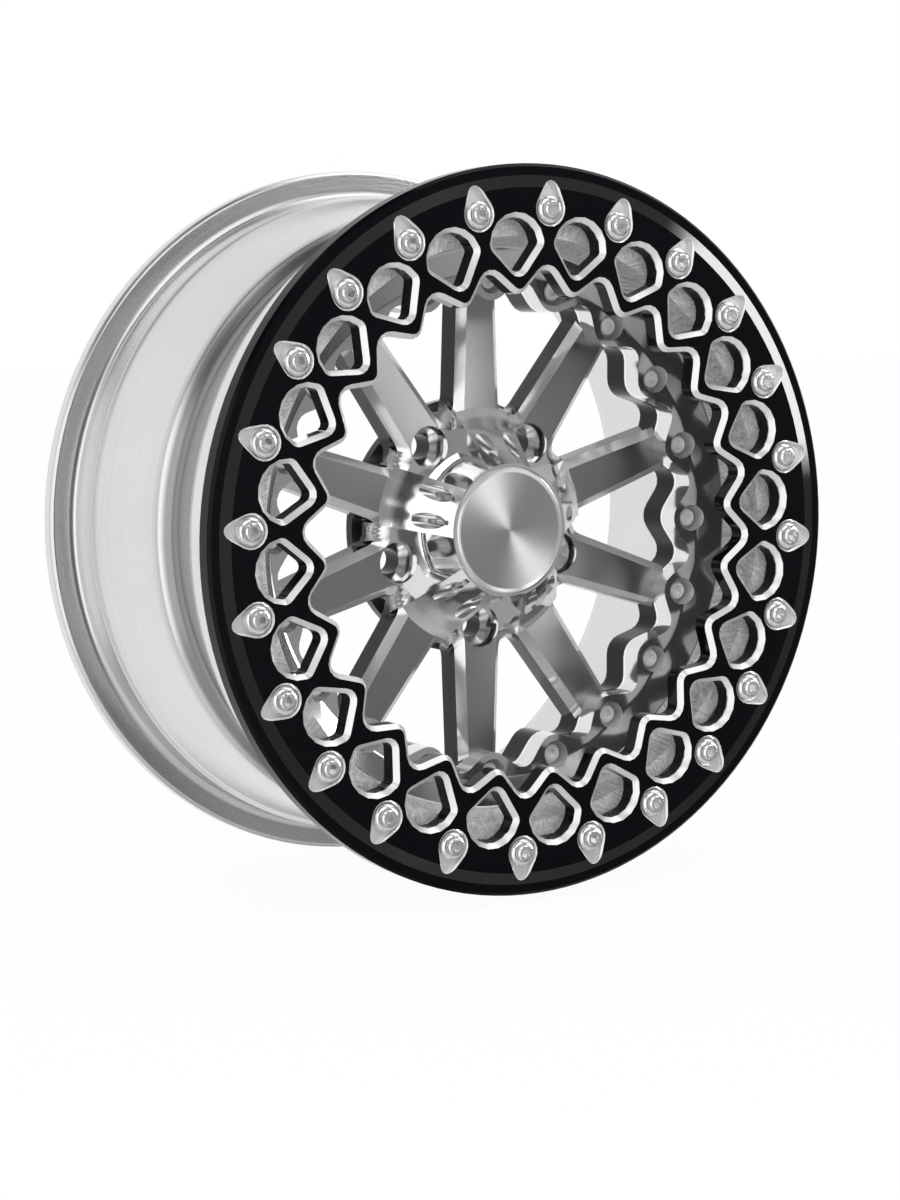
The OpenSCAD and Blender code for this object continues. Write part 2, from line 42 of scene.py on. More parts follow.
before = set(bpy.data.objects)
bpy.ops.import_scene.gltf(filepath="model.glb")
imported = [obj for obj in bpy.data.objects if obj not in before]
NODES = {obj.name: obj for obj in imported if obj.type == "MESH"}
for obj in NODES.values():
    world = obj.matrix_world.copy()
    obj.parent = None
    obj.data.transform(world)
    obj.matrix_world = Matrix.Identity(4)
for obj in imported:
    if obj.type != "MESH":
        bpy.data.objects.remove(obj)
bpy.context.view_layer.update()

# Faces of the clamp ring along the axle and the floor's height, in metres, from the frame
RING_LOW, RING_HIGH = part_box("beadlock_ring")
RING_FRONT = RING_LOW[1]
RING_BACK = RING_HIGH[1]
FLOOR_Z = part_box("barrel")[0][2] - 0.001

# Where the finishes and the painted shade change, each as distances from the axle and places along
# it, in
# metres: on the barrel, on the centre and on the clamp ring
DISH_START = RING_BACK + 0.0256
FLANGE_BACK = -0.0256
SEAT_ZONE = ((0.1, 0.1725), (RING_BACK - 0.002, RING_BACK + 0.0262))
DISH_ZONE = ((0.144, 0.1592), (DISH_START, RING_BACK + 0.038))
INNER_ZONE = ((0.12, 0.1592), (DISH_START, FLANGE_BACK))
SCALLOP_ZONE = ((0.12, 0.1495), (-0.0415, FLANGE_BACK))
# The well behind the clamp ring gets painted shade: a darker tone for the shadow the ring casts
WELL_SHADE_ZONE = ((0.1712, 0.1785), (-0.026, 0.021))
# The gap walls between the spokes and the hub's throat are painted near black as shade
GAP_WALL_SHADE_ZONE = ((0.0575, 0.1425), (-0.0245, 0.0))
THROAT_SHADE_ZONE = ((0.045, 0.0655), (-0.0142, 0.002))
RING_POCKET_ZONE = ((0.1675, 0.1955), (RING_FRONT + 0.0013, RING_FRONT + 0.0035))
RING_BEVELS = (RING_FRONT - 0.001, RING_FRONT + 0.0055)
RING_LAND = (0.1893, 0.1962)
RING_EDGE = (0.198, 0.1985)

# Distances from the axle: where the spokes' faces and bevels start, where the cap's disc
# ends, and between which the walls of the scallops lie
SPOKE_START = 0.0625
SPOKE_BEVELS = (0.061, 0.064)
CAP_DISC_R = 0.0327
SCALLOP_R = (0.126, 0.1455)

# The camera of the photograph: its place and its turns, in metres and degrees
CAMERA_PLACE = (-0.8552, -1.3625, 0.1251)
CAMERA_AZIMUTH = -31.99
CAMERA_ELEVATION = 6.005
CAMERA_ROLL = -0.229
CAMERA_LENS = 83.8

# Angles in degrees below which an edge is smooth: between surfaces, inside a faceted
# outline, and in the scallops
SMOOTH_LIMIT = 20.0
OUTLINE_LIMIT = 30.0
SCALLOP_LIMIT = 60.0

# How far a flat face and a wall turn from the axle, as the length of the normal along it
FLAT_ABOVE = 0.99
WALL_BELOW = 0.05

# Vertices closer than this are one, in metres
MERGE_GAP = 1e-6

# The circle of the centre bolts and the pockets round their heads
CENTRE_BOLTS = 20
CENTRE_CIRCLE_R = 0.1398
POCKET_R = 0.0079
POCKET_DEPTH = (RING_BACK + 0.028, RING_BACK + 0.045)


class WheelFinish(bpy.types.PropertyGroup):
    """Colours and finishes of the wheel's pieces"""

    barrel_colour: bpy.props.FloatVectorProperty(
        name="Barrel", description="Colour of the turned shell", subtype="COLOR",
        size=3, min=0.0, max=1.0, default=(0.74, 0.74, 0.735))
    barrel_roughness: bpy.props.FloatProperty(
        name="Barrel roughness", description="How satin the turned shell is",
        min=0.02, max=1.0, default=0.24)
    centre_colour: bpy.props.FloatVectorProperty(
        name="Spokes", description="Colour of the spokes' faces", subtype="COLOR",
        size=3, min=0.0, max=1.0, default=(0.41, 0.41, 0.415))
    centre_roughness: bpy.props.FloatProperty(
        name="Spoke roughness", description="How satin the spokes' faces are",
        min=0.02, max=1.0, default=0.3)
    ring_colour: bpy.props.FloatVectorProperty(
        name="Clamp ring", description="Colour of the clamp ring's gloss black", subtype="COLOR",
        size=3, min=0.0, max=1.0, default=(0.0025, 0.0025, 0.004))
    ring_edge_colour: bpy.props.FloatVectorProperty(
        name="Ring bevels", description="Colour of the bare bevels", subtype="COLOR",
        size=3, min=0.0, max=1.0, default=(0.86, 0.86, 0.85))
    bolt_colour: bpy.props.FloatVectorProperty(
        name="Bolts", description="Colour of the polished bolts", subtype="COLOR",
        size=3, min=0.0, max=1.0, default=(0.9, 0.9, 0.89))
    cap_colour: bpy.props.FloatVectorProperty(
        name="Cap", description="Colour of the cap's satin disc", subtype="COLOR",
        size=3, min=0.0, max=1.0, default=(0.52, 0.52, 0.53))


class StudioSetup(bpy.types.PropertyGroup):
    """Size of the floor and strength of the light"""

    floor_size: bpy.props.FloatProperty(
        name="Floor size", description="Side of the square floor", subtype="DISTANCE",
        unit="LENGTH", min=1.0, max=60.0, default=24.0)
    key_power: bpy.props.FloatProperty(
        name="Key lamp", description="Power of the large lamp above", unit="POWER",
        min=0.0, max=500.0, default=14.0)
    world_level: bpy.props.FloatProperty(
        name="World", description="Level of the soft light all round", min=0.0, max=2.0,
        default=0.85)
    dark_level: bpy.props.FloatProperty(
        name="Dark side", description="Level of the dark screens in front", min=0.0, max=1.0,
        default=0.05)


def finish():
    """The settings of the wheel's finishes"""
    return bpy.context.scene.wheel_finish


# Shader node helpers

def new_group(name, inputs, outputs):
    """An empty node group with named sockets: (name, type, default) in, (name, type) out"""
    group = bpy.data.node_groups.new(name, "ShaderNodeTree")
    for label, kind, default in inputs:
        socket = group.interface.new_socket(label, in_out="INPUT", socket_type=kind)
        if default is not None:
            socket.default_value = default
    for label, kind in outputs:
        group.interface.new_socket(label, in_out="OUTPUT", socket_type=kind)
    into = group.nodes.new("NodeGroupInput")
    out = group.nodes.new("NodeGroupOutput")
    return group, into, out


def maths(tree, operation, a, b=None, clamp=False):
    """A Math node fed by sockets or numbers, and its output"""
    node = tree.nodes.new("ShaderNodeMath")
    node.operation = operation
    node.use_clamp = clamp
    for index, value in enumerate((a, b)):
        if value is None:
            continue
        if isinstance(value, (int, float)):
            node.inputs[index].default_value = value
        else:
            tree.links.new(value, node.inputs[index])
    return node.outputs[0]


def ramp(tree, value, low, high, low_out=0.0, high_out=1.0):
    """A clamped Map Range node and its output"""
    node = tree.nodes.new("ShaderNodeMapRange")
    node.inputs["From Min"].default_value = low
    node.inputs["From Max"].default_value = high
    node.inputs["To Min"].default_value = low_out
    node.inputs["To Max"].default_value = high_out
    tree.links.new(value, node.inputs["Value"])
    return node.outputs["Result"]


def noise(tree, vector, scale, detail=3.0, roughness=0.55):
    """A Noise Texture node and its value output"""
    node = tree.nodes.new("ShaderNodeTexNoise")
    node.inputs["Scale"].default_value = scale
    node.inputs["Detail"].default_value = detail
    node.inputs["Roughness"].default_value = roughness
    tree.links.new(vector, node.inputs["Vector"])
    return node.outputs["Fac"]


def combine(tree, x, y, z):
    """A vector from three sockets or numbers"""
    node = tree.nodes.new("ShaderNodeCombineXYZ")
    for index, value in enumerate((x, y, z)):
        if isinstance(value, (int, float)):
            node.inputs[index].default_value = value
        else:
            tree.links.new(value, node.inputs[index])
    return node.outputs[0]


def mix_colour(tree, factor, a, b):
    """A Mix node for two colours, each a socket or a triple"""
    node = tree.nodes.new("ShaderNodeMix")
    node.data_type = "RGBA"
    tree.links.new(factor, node.inputs["Factor"])
    for socket, value in ((node.inputs[6], a), (node.inputs[7], b)):
        if isinstance(value, (tuple, list)):
            socket.default_value = (*value[:3], 1.0)
        else:
            tree.links.new(value, socket)
    return node.outputs[2]


def mix_value(tree, factor, a, b):
    """A Mix node for two numbers, each a socket or a number"""
    node = tree.nodes.new("ShaderNodeMix")
    node.data_type = "FLOAT"
    tree.links.new(factor, node.inputs["Factor"])
    for socket, value in ((node.inputs[2], a), (node.inputs[3], b)):
        if isinstance(value, (int, float)):
            socket.default_value = value
        else:
            tree.links.new(value, socket)
    return node.outputs[0]


def axle_group():
    """Distance from the axle, place along it and angle round it, from a point in the frame"""
    group, into, out = new_group(
        "Axle coordinates", [("Point", "NodeSocketVector", None)],
        [("Radius", "NodeSocketFloat"), ("Along", "NodeSocketFloat"), ("Angle", "NodeSocketFloat")])
    split = group.nodes.new("ShaderNodeSeparateXYZ")
    group.links.new(into.outputs["Point"], split.inputs[0])
    x, y, z = split.outputs
    square = maths(group, "ADD", maths(group, "MULTIPLY", x, x), maths(group, "MULTIPLY", z, z))
    group.links.new(maths(group, "SQRT", square), out.inputs["Radius"])
    group.links.new(y, out.inputs["Along"])
    group.links.new(maths(group, "ARCTAN2", z, x), out.inputs["Angle"])
    return group


def turned_group(axle):
    """Fine turning marks that run round the axle"""
    group, into, out = new_group(
        "Turning marks",
        [("Point", "NodeSocketVector", None), ("Marks per metre", "NodeSocketFloat", 900.0)],
        [("Marks", "NodeSocketFloat"), ("Cloud", "NodeSocketFloat")])
    use = group.nodes.new("ShaderNodeGroup")
    use.node_tree = axle
    group.links.new(into.outputs["Point"], use.inputs["Point"])
    per = into.outputs["Marks per metre"]
    around = combine(
        group, maths(group, "MULTIPLY", use.outputs["Radius"], per),
        maths(group, "MULTIPLY", use.outputs["Along"], per),
        maths(group, "MULTIPLY", use.outputs["Angle"], 1.5))
    group.links.new(noise(group, around, 1.0, 2.0), out.inputs["Marks"])
    group.links.new(noise(group, into.outputs["Point"], 22.0, 3.0), out.inputs["Cloud"])
    return group


def brushed_group():
    """Patches of short crossing scratches, as on a rough-machined face"""
    group, into, out = new_group(
        "Milled patches", [("Point", "NodeSocketVector", None)], [("Height", "NodeSocketFloat")])
    cells = group.nodes.new("ShaderNodeTexVoronoi")
    cells.inputs["Scale"].default_value = 75.0
    group.links.new(into.outputs["Point"], cells.inputs["Vector"])
    split = group.nodes.new("ShaderNodeSeparateColor")
    group.links.new(cells.outputs["Color"], split.inputs[0])
    turn = group.nodes.new("ShaderNodeVectorRotate")
    turn.rotation_type = "Y_AXIS"
    group.links.new(into.outputs["Point"], turn.inputs["Vector"])
    group.links.new(maths(group, "MULTIPLY", split.outputs[0], 3.14), turn.inputs["Angle"])
    parts = group.nodes.new("ShaderNodeSeparateXYZ")
    group.links.new(turn.outputs[0], parts.inputs[0])
    long = combine(group, maths(group, "MULTIPLY", parts.outputs[0], 1100.0), 0.0,
                   maths(group, "MULTIPLY", parts.outputs[2], 90.0))
    lines = noise(group, long, 1.0, 3.0)
    grain = noise(group, into.outputs["Point"], 420.0, 3.0)
    group.links.new(maths(group, "ADD", lines, maths(group, "MULTIPLY", grain, 0.5)),
                    out.inputs["Height"])
    return group


def facing_group():
    """How far a face turns from the street side: 1 looks straight out, 0 sideways"""
    group, into, out = new_group("Facing", [("Normal", "NodeSocketVector", None)],
                                 [("Outward", "NodeSocketFloat")])
    split = group.nodes.new("ShaderNodeSeparateXYZ")
    group.links.new(into.outputs["Normal"], split.inputs[0])
    group.links.new(maths(group, "MULTIPLY", split.outputs[1], -1.0), out.inputs["Outward"])
    return group


def new_material(name):
    """A material with an empty Principled shader, and the sockets that most finishes read"""
    mat = bpy.data.materials.new(name)
    mat.use_nodes = True
    tree = mat.node_tree
    shader = tree.nodes["Principled BSDF"]
    coords = tree.nodes.new("ShaderNodeTexCoord")
    return mat, tree, shader, coords.outputs["Object"]


def use_group(tree, group, **sockets):
    """A group node, with its inputs fed by sockets or numbers under their names"""
    node = tree.nodes.new("ShaderNodeGroup")
    node.node_tree = group
    for label, value in sockets.items():
        socket = node.inputs[label.replace("_", " ").capitalize()]
        if isinstance(value, (int, float)):
            socket.default_value = value
        else:
            tree.links.new(value, socket)
    return node


def bump(tree, shader, height, strength, distance):
    """Tilts the shader's normal by a height, over a distance in metres"""
    node = tree.nodes.new("ShaderNodeBump")
    node.inputs["Strength"].default_value = strength
    node.inputs["Distance"].default_value = distance
    tree.links.new(height, node.inputs["Height"])
    tree.links.new(node.outputs[0], shader.inputs["Normal"])


def window(tree, value, low, high, soft):
    """1 between two values and 0 outside them, with soft ends"""
    up = ramp(tree, value, low - soft, low + soft)
    down = ramp(tree, value, high - soft, high + soft, 1.0, 0.0)
    return maths(tree, "MULTIPLY", up, down)


def shared(name):
    """A node group by name, made on first use"""
    if name in bpy.data.node_groups:
        return bpy.data.node_groups[name]
    makers = {
        "Axle coordinates": axle_group,
        "Turning marks": lambda: turned_group(shared("Axle coordinates")),
        "Milled patches": brushed_group,
        "Facing": facing_group,
    }
    return makers[name]()


def scaled(colour, factor):
    """A colour made lighter or darker, at most white"""
    return tuple(min(1.0, c * factor) for c in colour)


def zone(tree, axle, radius, along, soft=0.0002):
    """1 between two distances from the axle and two places along it, in metres"""
    return maths(tree, "MULTIPLY", window(tree, axle.outputs["Radius"], *radius, soft),
                 window(tree, axle.outputs["Along"], *along, soft))


def outward(tree):
    """How far the true face turns to the street side, as a socket"""
    geometry = tree.nodes.new("ShaderNodeNewGeometry")
    facing = use_group(tree, shared("Facing"), Normal=geometry.outputs["True Normal"])
    return facing.outputs["Outward"]


def barrel_metal():
    """Satin turned shell, with a rough-machined seat, a polished dish and inner flange, and painted
    shade in the well
    """
    mat, tree, shader, point = new_material("turned_aluminium")
    look = finish()
    marks = use_group(tree, shared("Turning marks"), Point=point)
    axle = use_group(tree, shared("Axle coordinates"), Point=point)
    patches = use_group(tree, shared("Milled patches"), Point=point)
    out = outward(tree)
    seat = zone(tree, axle, *SEAT_ZONE)
    dish = zone(tree, axle, *DISH_ZONE)
    wall = maths(tree, "MULTIPLY", zone(tree, axle, *SCALLOP_ZONE),
                 ramp(tree, out, 0.35, 0.5, 1.0, 0.0))
    base = tuple(look.barrel_colour)
    tone = mix_colour(tree, marks.outputs["Cloud"], scaled(base, 0.93), scaled(base, 1.04))
    # Painted shade: the well behind the clamp ring is coloured darker, standing in for the ring's
    # shadow on it
    well_painted_shade = zone(tree, axle, *WELL_SHADE_ZONE, 0.001)
    tone = mix_colour(tree, well_painted_shade, tone, scaled(base, 0.42))
    streak = ramp(tree, patches.outputs["Height"], 0.5, 0.95)
    rough_tone = mix_colour(tree, streak, (0.42, 0.42, 0.42), (0.98, 0.98, 0.97))
    tone = mix_colour(tree, seat, tone, rough_tone)
    tone = mix_colour(tree, dish, tone, (0.6, 0.6, 0.6))
    tree.links.new(mix_colour(tree, wall, tone, (0.8, 0.8, 0.79)), shader.inputs["Base Color"])
    sheen = mix_value(tree, seat, 0.92, 0.3)
    tree.links.new(mix_value(tree, wall, sheen, 0.88), shader.inputs["Metallic"])
    satin = ramp(tree, marks.outputs["Marks"], 0.3, 0.7,
                 look.barrel_roughness - 0.04, look.barrel_roughness + 0.05)
    inner = zone(tree, axle, *INNER_ZONE)
    polished = mix_value(tree, inner, satin, 0.1)
    tree.links.new(mix_value(tree, seat, polished, 0.36), shader.inputs["Roughness"])
    height = mix_value(tree, seat, maths(tree, "MULTIPLY", marks.outputs["Marks"], 0.05),
                       patches.outputs["Height"])
    bump(tree, shader, height, 0.35, 0.0006)
    return mat


def centre_metal():
    """Milled plate: pale bevels, a polished hub, and painted shade that darkens the gap walls and
    the hub's throat
    """
    mat, tree, shader, point = new_material("milled_aluminium")
    marks = use_group(tree, shared("Turning marks"), Point=point)
    axle = use_group(tree, shared("Axle coordinates"), Point=point)
    out = outward(tree)
    bevel = maths(tree, "MULTIPLY", window(tree, out, 0.4, 0.96, 0.01),
                  ramp(tree, axle.outputs["Radius"], *SPOKE_BEVELS))
    # Painted shade and painted dark reflection: the walls between the spokes and the hub's throat
    # are coloured near black
    gap_wall_shade = zone(tree, axle, *GAP_WALL_SHADE_ZONE)
    throat_shade = zone(tree, axle, *THROAT_SHADE_ZONE)
    wall_painted_shade = maths(tree, "MULTIPLY", maths(tree, "MAXIMUM", gap_wall_shade, throat_shade),
                 window(tree, out, -0.4, 0.4, 0.05))
    polished = mix_colour(tree, marks.outputs["Cloud"], (0.86, 0.86, 0.86), (0.97, 0.97, 0.96))
    tree.links.new(mix_colour(tree, wall_painted_shade, polished, (0.02, 0.02, 0.022)),
                   shader.inputs["Base Color"])
    tree.links.new(ramp(tree, noise(tree, point, 900.0, 2.0), 0.3, 0.7, 0.07, 0.12),
                   shader.inputs["Roughness"])
    tree.links.new(mix_value(tree, bevel, 0.93, 0.6), shader.inputs["Metallic"])
    bump(tree, shader, noise(tree, point, 1400.0, 2.0), 0.05, 0.0002)
    return mat


def turned_face(name, colour, roughness):
    """A flat face turned round the axle, whose fine rings draw its highlights out"""
    mat, tree, shader, point = new_material(name)
    marks = use_group(tree, shared("Turning marks"), Point=point)
    tone = mix_colour(tree, marks.outputs["Cloud"], scaled(colour, 0.88), scaled(colour, 1.1))
    tree.links.new(mix_colour(tree, ramp(tree, marks.outputs["Marks"], 0.3, 0.7), tone,
                              scaled(colour, 1.02)), shader.inputs["Base Color"])
    shader.inputs["Metallic"].default_value = 0.96
    shader.inputs["Anisotropic"].default_value = 0.75
    shader.inputs["Roughness"].default_value = roughness
    tangent = tree.nodes.new("ShaderNodeTangent")
    tangent.direction_type = "RADIAL"
    tangent.axis = "Y"
    tree.links.new(tangent.outputs[0], shader.inputs["Tangent"])
    bump(tree, shader, marks.outputs["Marks"], 0.05, 0.0002)
    return mat


def ring_black():
    """Gloss black with bare milled bevels"""
    mat, tree, shader, point = new_material("gloss_black_milled")
    look = finish()
    axle = use_group(tree, shared("Axle coordinates"), Point=point)
    out = outward(tree)
    front = window(tree, axle.outputs["Along"], *RING_BEVELS, 0.0001)
    sloped = window(tree, out, 0.45, 0.93, 0.02)
    pocket = zone(tree, axle, *RING_POCKET_ZONE, 0.0001)
    inside = ramp(tree, axle.outputs["Radius"], *RING_EDGE, 1.0, 0.0)
    bare = maths(tree, "MULTIPLY", inside,
                 maths(tree, "MAXIMUM", maths(tree, "MULTIPLY", front, sloped), pocket))
    cloud = noise(tree, point, 60.0, 3.0)
    black = mix_colour(tree, cloud, scaled(look.ring_colour, 0.8), scaled(look.ring_colour, 1.3))
    metal = mix_colour(tree, noise(tree, point, 300.0, 3.0), scaled(look.ring_edge_colour, 0.92),
                       scaled(look.ring_edge_colour, 1.05))
    land = maths(tree, "MULTIPLY", window(tree, axle.outputs["Radius"], *RING_LAND, 0.0001),
                 window(tree, out, 0.95, 0.995, 0.001))
    land = maths(tree, "SUBTRACT", land, bare, clamp=True)
    black = mix_colour(tree, land, black, (0.055, 0.055, 0.055))
    tree.links.new(mix_colour(tree, bare, black, metal), shader.inputs["Base Color"])
    tree.links.new(maths(tree, "ADD", maths(tree, "MULTIPLY", bare, 0.55),
                         maths(tree, "MULTIPLY", land, 0.7)), shader.inputs["Metallic"])
    shader.inputs["Specular IOR Level"].default_value = 0.12
    tree.links.new(mix_value(tree, bare, 0.045, 0.25), shader.inputs["Roughness"])
    bump(tree, shader, noise(tree, point, 700.0, 2.0), 0.02, 0.0002)
    return mat


def polished_steel(name, colour, roughness, scale=500.0, metallic=0.88):
    """Polished steel with faint handling marks"""
    mat, tree, shader, point = new_material(name)
    cloud = noise(tree, point, scale, 3.0)
    tree.links.new(mix_colour(tree, cloud, scaled(colour, 0.9), scaled(colour, 1.06)),
                   shader.inputs["Base Color"])
    shader.inputs["Metallic"].default_value = metallic
    tree.links.new(ramp(tree, cloud, 0.3, 0.7, roughness - 0.03, roughness + 0.04),
                   shader.inputs["Roughness"])
    bump(tree, shader, noise(tree, point, scale * 2.0, 2.0), 0.08, 0.0002)
    return mat


def soft_black(name, colour, roughness, grain):
    """Rubber or plastic with a fine grain"""
    mat, tree, shader, point = new_material(name)
    speck = noise(tree, point, grain, 3.0)
    tree.links.new(mix_colour(tree, speck, scaled(colour, 0.7), scaled(colour, 1.4)),
                   shader.inputs["Base Color"])
    tree.links.new(ramp(tree, speck, 0.3, 0.7, roughness - 0.08, roughness + 0.08),
                   shader.inputs["Roughness"])
    bump(tree, shader, speck, 0.15, 0.0003)
    return mat


def dress(node, mat):
    """Gives a frame node one material on all its faces"""
    mesh = NODES[node].data
    mesh.materials.clear()
    mesh.materials.append(mat)


def remove_old(name):
    """Removes what an earlier run of an operator left"""
    if name in bpy.data.objects:
        bpy.data.objects.remove(bpy.data.objects[name], do_unlink=True)


def keep_mesh(name, bm):
    """Stores a bmesh as an object at the origin"""
    remove_old(name)
    mesh = bpy.data.meshes.new(name)
    bm.normal_update()
    bm.to_mesh(mesh)
    bm.free()
    obj = bpy.data.objects.new(name, mesh)
    bpy.context.scene.collection.objects.link(obj)
    return obj


def reach(face):
    """The distance from the axle to the middle of a face"""
    middle = face.calc_center_median()
    return math.hypot(middle.x, middle.z)


def kind(face):
    """Whether a face is flat to the street, a wall along the axle or a slope"""
    along = abs(face.normal.y)
    return "flat" if along > FLAT_ABOVE else "wall" if along < WALL_BELOW else "slope"


def in_scallop(face):
    """Whether a face is a wall of the scallops"""
    return kind(face) == "wall" and SCALLOP_R[0] < reach(face) < SCALLOP_R[1]


def in_bolt_pocket(face):
    """Whether a face is a wall or floor of a pocket round a centre bolt's head"""
    middle = face.calc_center_median()
    pitch = math.tau / CENTRE_BOLTS
    turn = math.atan2(middle.z, middle.x)
    turn -= round(turn / pitch) * pitch
    along = reach(face) * math.cos(turn) - CENTRE_CIRCLE_R
    gap = math.hypot(along, reach(face) * math.sin(turn))
    return gap < POCKET_R and POCKET_DEPTH[0] < middle.y < POCKET_DEPTH[1]


def on_spoke(face):
    """Whether a face is the front of a spoke or of the centre's rim"""
    return -face.normal.y > FLAT_ABOVE and reach(face) > SPOKE_START


def on_disc(face):
    """Whether a face is the front of the cap's disc"""
    return -face.normal.y > FLAT_ABOVE and reach(face) < CAP_DISC_R


def edge_limit(one, two):
    """The angle in degrees up to which the edge between two faces is smooth"""
    if in_scallop(one) and in_scallop(two):
        return SCALLOP_LIMIT
    if kind(one) != kind(two) or one.material_index != two.material_index:
        return SMOOTH_LIMIT / 2.0
    return SMOOTH_LIMIT if kind(one) == "flat" else OUTLINE_LIMIT


def smooth_copy(node, name, mats, second=None):
    """A smooth-shaded copy of a frame node, merged, with hard edges above an angle. Second
    picks the faces of the second material."""
    bm = bmesh.new()
    bm.from_mesh(NODES[node].data)
    bmesh.ops.remove_doubles(bm, verts=bm.verts, dist=MERGE_GAP)
    for face in bm.faces:
        face.smooth = True
        face.material_index = 1 if second is not None and second(face) else 0
    for edge in bm.edges:
        if len(edge.link_faces) == 2:
            limit = math.radians(edge_limit(*edge.link_faces))
            edge.smooth = edge.calc_face_angle(0.0) < limit
        else:
            edge.smooth = False
    piece = keep_mesh(name, bm)
    for mat in mats:
        piece.data.materials.append(mat)
    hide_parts(node)
    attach(piece, "root")
    return piece


# Operators, one for each piece or group of like pieces

class WHEEL_OT_barrel(bpy.types.Operator):
    """Finish the turned shell"""

    bl_idname = "wheel.barrel"
    bl_label = "Barrel"

    def execute(self, context):
        shade = polished_steel("pocket_metal", (0.72, 0.72, 0.72), 0.2, metallic=0.45)
        smooth_copy("barrel", "barrel_smooth", (barrel_metal(), shade), in_bolt_pocket)
        return {"FINISHED"}


class WHEEL_OT_centre(bpy.types.Operator):
    """Finish the milled centre"""

    bl_idname = "wheel.centre"
    bl_label = "Wheel centre"

    def execute(self, context):
        look = finish()
        spokes = turned_face("turned_spokes", tuple(look.centre_colour), look.centre_roughness)
        smooth_copy("wheel_centre", "wheel_centre_smooth", (centre_metal(), spokes),
                    on_spoke)
        return {"FINISHED"}


class WHEEL_OT_clamp_ring(bpy.types.Operator):
    """Finish the clamp ring"""

    bl_idname = "wheel.clamp_ring"
    bl_label = "Clamp ring"

    def execute(self, context):
        smooth_copy("beadlock_ring", "clamp_ring_smooth", (ring_black(),))
        return {"FINISHED"}


class WHEEL_OT_bolts(bpy.types.Operator):
    """Finish the bolts and the thread inserts"""

    bl_idname = "wheel.bolts"
    bl_label = "Bolts"

    def execute(self, context):
        dress("beadlock_bolts", polished_steel("polished_bolt", finish().bolt_colour, 0.16))
        dress("centre_bolts", polished_steel("polished_screw", (0.98, 0.98, 0.97), 0.14,
                                             metallic=0.3))
        dress("thread_inserts", polished_steel("insert_steel", (0.45, 0.45, 0.45), 0.35))
        return {"FINISHED"}


class WHEEL_OT_cap(bpy.types.Operator):
    """Finish the centre cap and its rubber ring"""

    bl_idname = "wheel.cap"
    bl_label = "Centre cap"

    def execute(self, context):
        rim = polished_steel("polished_cap_rim", (0.95, 0.95, 0.95), 0.1, metallic=0.6)
        disc = turned_face("turned_cap", tuple(finish().cap_colour), 0.34)
        smooth_copy("centre_cap", "cap_smooth", (rim, disc), on_disc)
        dress("cap_o_ring", soft_black("ring_rubber", (0.015, 0.015, 0.015), 0.6, 900.0))
        return {"FINISHED"}


class WHEEL_OT_valve(bpy.types.Operator):
    """Finish the tyre valve"""

    bl_idname = "wheel.valve"
    bl_label = "Valve"

    def execute(self, context):
        plated = polished_steel("valve_plating", (0.7, 0.69, 0.66), 0.2, 900.0)
        dress("valve_stem", plated)
        dress("valve_nut", plated)
        dress("valve_washer", polished_steel("washer_steel", (0.55, 0.55, 0.55), 0.3, 900.0))
        dress("valve_core", polished_steel("core_brass", (0.66, 0.46, 0.2), 0.25, 900.0))
        dress("valve_seal", soft_black("seal_rubber", (0.015, 0.015, 0.015), 0.65, 900.0))
        dress("valve_cap", soft_black("cap_plastic", (0.02, 0.02, 0.022), 0.45, 1200.0))
        return {"FINISHED"}


def stage_material(name, colour, camera_white):
    """A plain matte surface that the camera sees as part white"""
    mat = bpy.data.materials.new(name)
    mat.use_nodes = True
    tree = mat.node_tree
    tree.nodes.clear()
    out = tree.nodes.new("ShaderNodeOutputMaterial")
    matte = tree.nodes.new("ShaderNodeBsdfDiffuse")
    matte.inputs["Color"].default_value = (*colour, 1.0)
    glow = tree.nodes.new("ShaderNodeEmission")
    glow.inputs["Color"].default_value = (1.0, 1.0, 1.0, 1.0)
    path = tree.nodes.new("ShaderNodeLightPath")
    mix = tree.nodes.new("ShaderNodeMixShader")
    tree.links.new(maths(tree, "MULTIPLY", path.outputs["Is Camera Ray"], camera_white),
                   mix.inputs[0])
    tree.links.new(matte.outputs[0], mix.inputs[1])
    tree.links.new(glow.outputs[0], mix.inputs[2])
    tree.links.new(mix.outputs[0], out.inputs["Surface"])
    return mat


# Soft panels round the wheel: azimuth and elevation of the middle, half width, half height,
# softness of the edges, all in degrees, and the level
PANELS = (
    (33.0, 2.0, 24.0, 20.0, 12.0, 0.3),
    (26.0, -3.0, 5.5, 30.0, 5.0, 0.42),
    (-56.0, -2.0, 20.0, 34.0, 7.0, 1.35),
    (-10.0, 46.0, 36.0, 18.0, 7.0, 1.4),
    (80.0, 54.0, 40.0, 24.0, 8.0, 1.6),
    (56.5, 7.0, 7.5, 7.5, 1.2, 18.0),
    (20.0, -58.0, 70.0, 28.0, 12.0, 0.62),
    (-62.0, -50.0, 26.0, 22.0, 10.0, 0.75),
    (85.0, -12.0, 9.0, 24.0, 7.0, 0.7),
    (0.0, 2.0, 4.0, 26.0, 5.0, 0.7),
    (-100.0, 12.0, 5.0, 30.0, 5.0, 0.55),
)


# Azimuths, in degrees, over which the world brightens: behind the wheel on both sides, and
# on its left up to a lower level. High up it fades to a share of its level.
BACK_START, BACK_FULL = 96.0, 138.0
LEFT_FULL, LEFT_END, LEFT_LEVEL = -94.0, -60.0, 0.85
HIGH_START, HIGH_END, HIGH_SHARE = 20.0, 70.0, 0.75

# The key lamp's place and size in metres
KEY_PLACE = (-0.7, -1.2, 1.9)
KEY_SIZE = (1.2, 0.8)


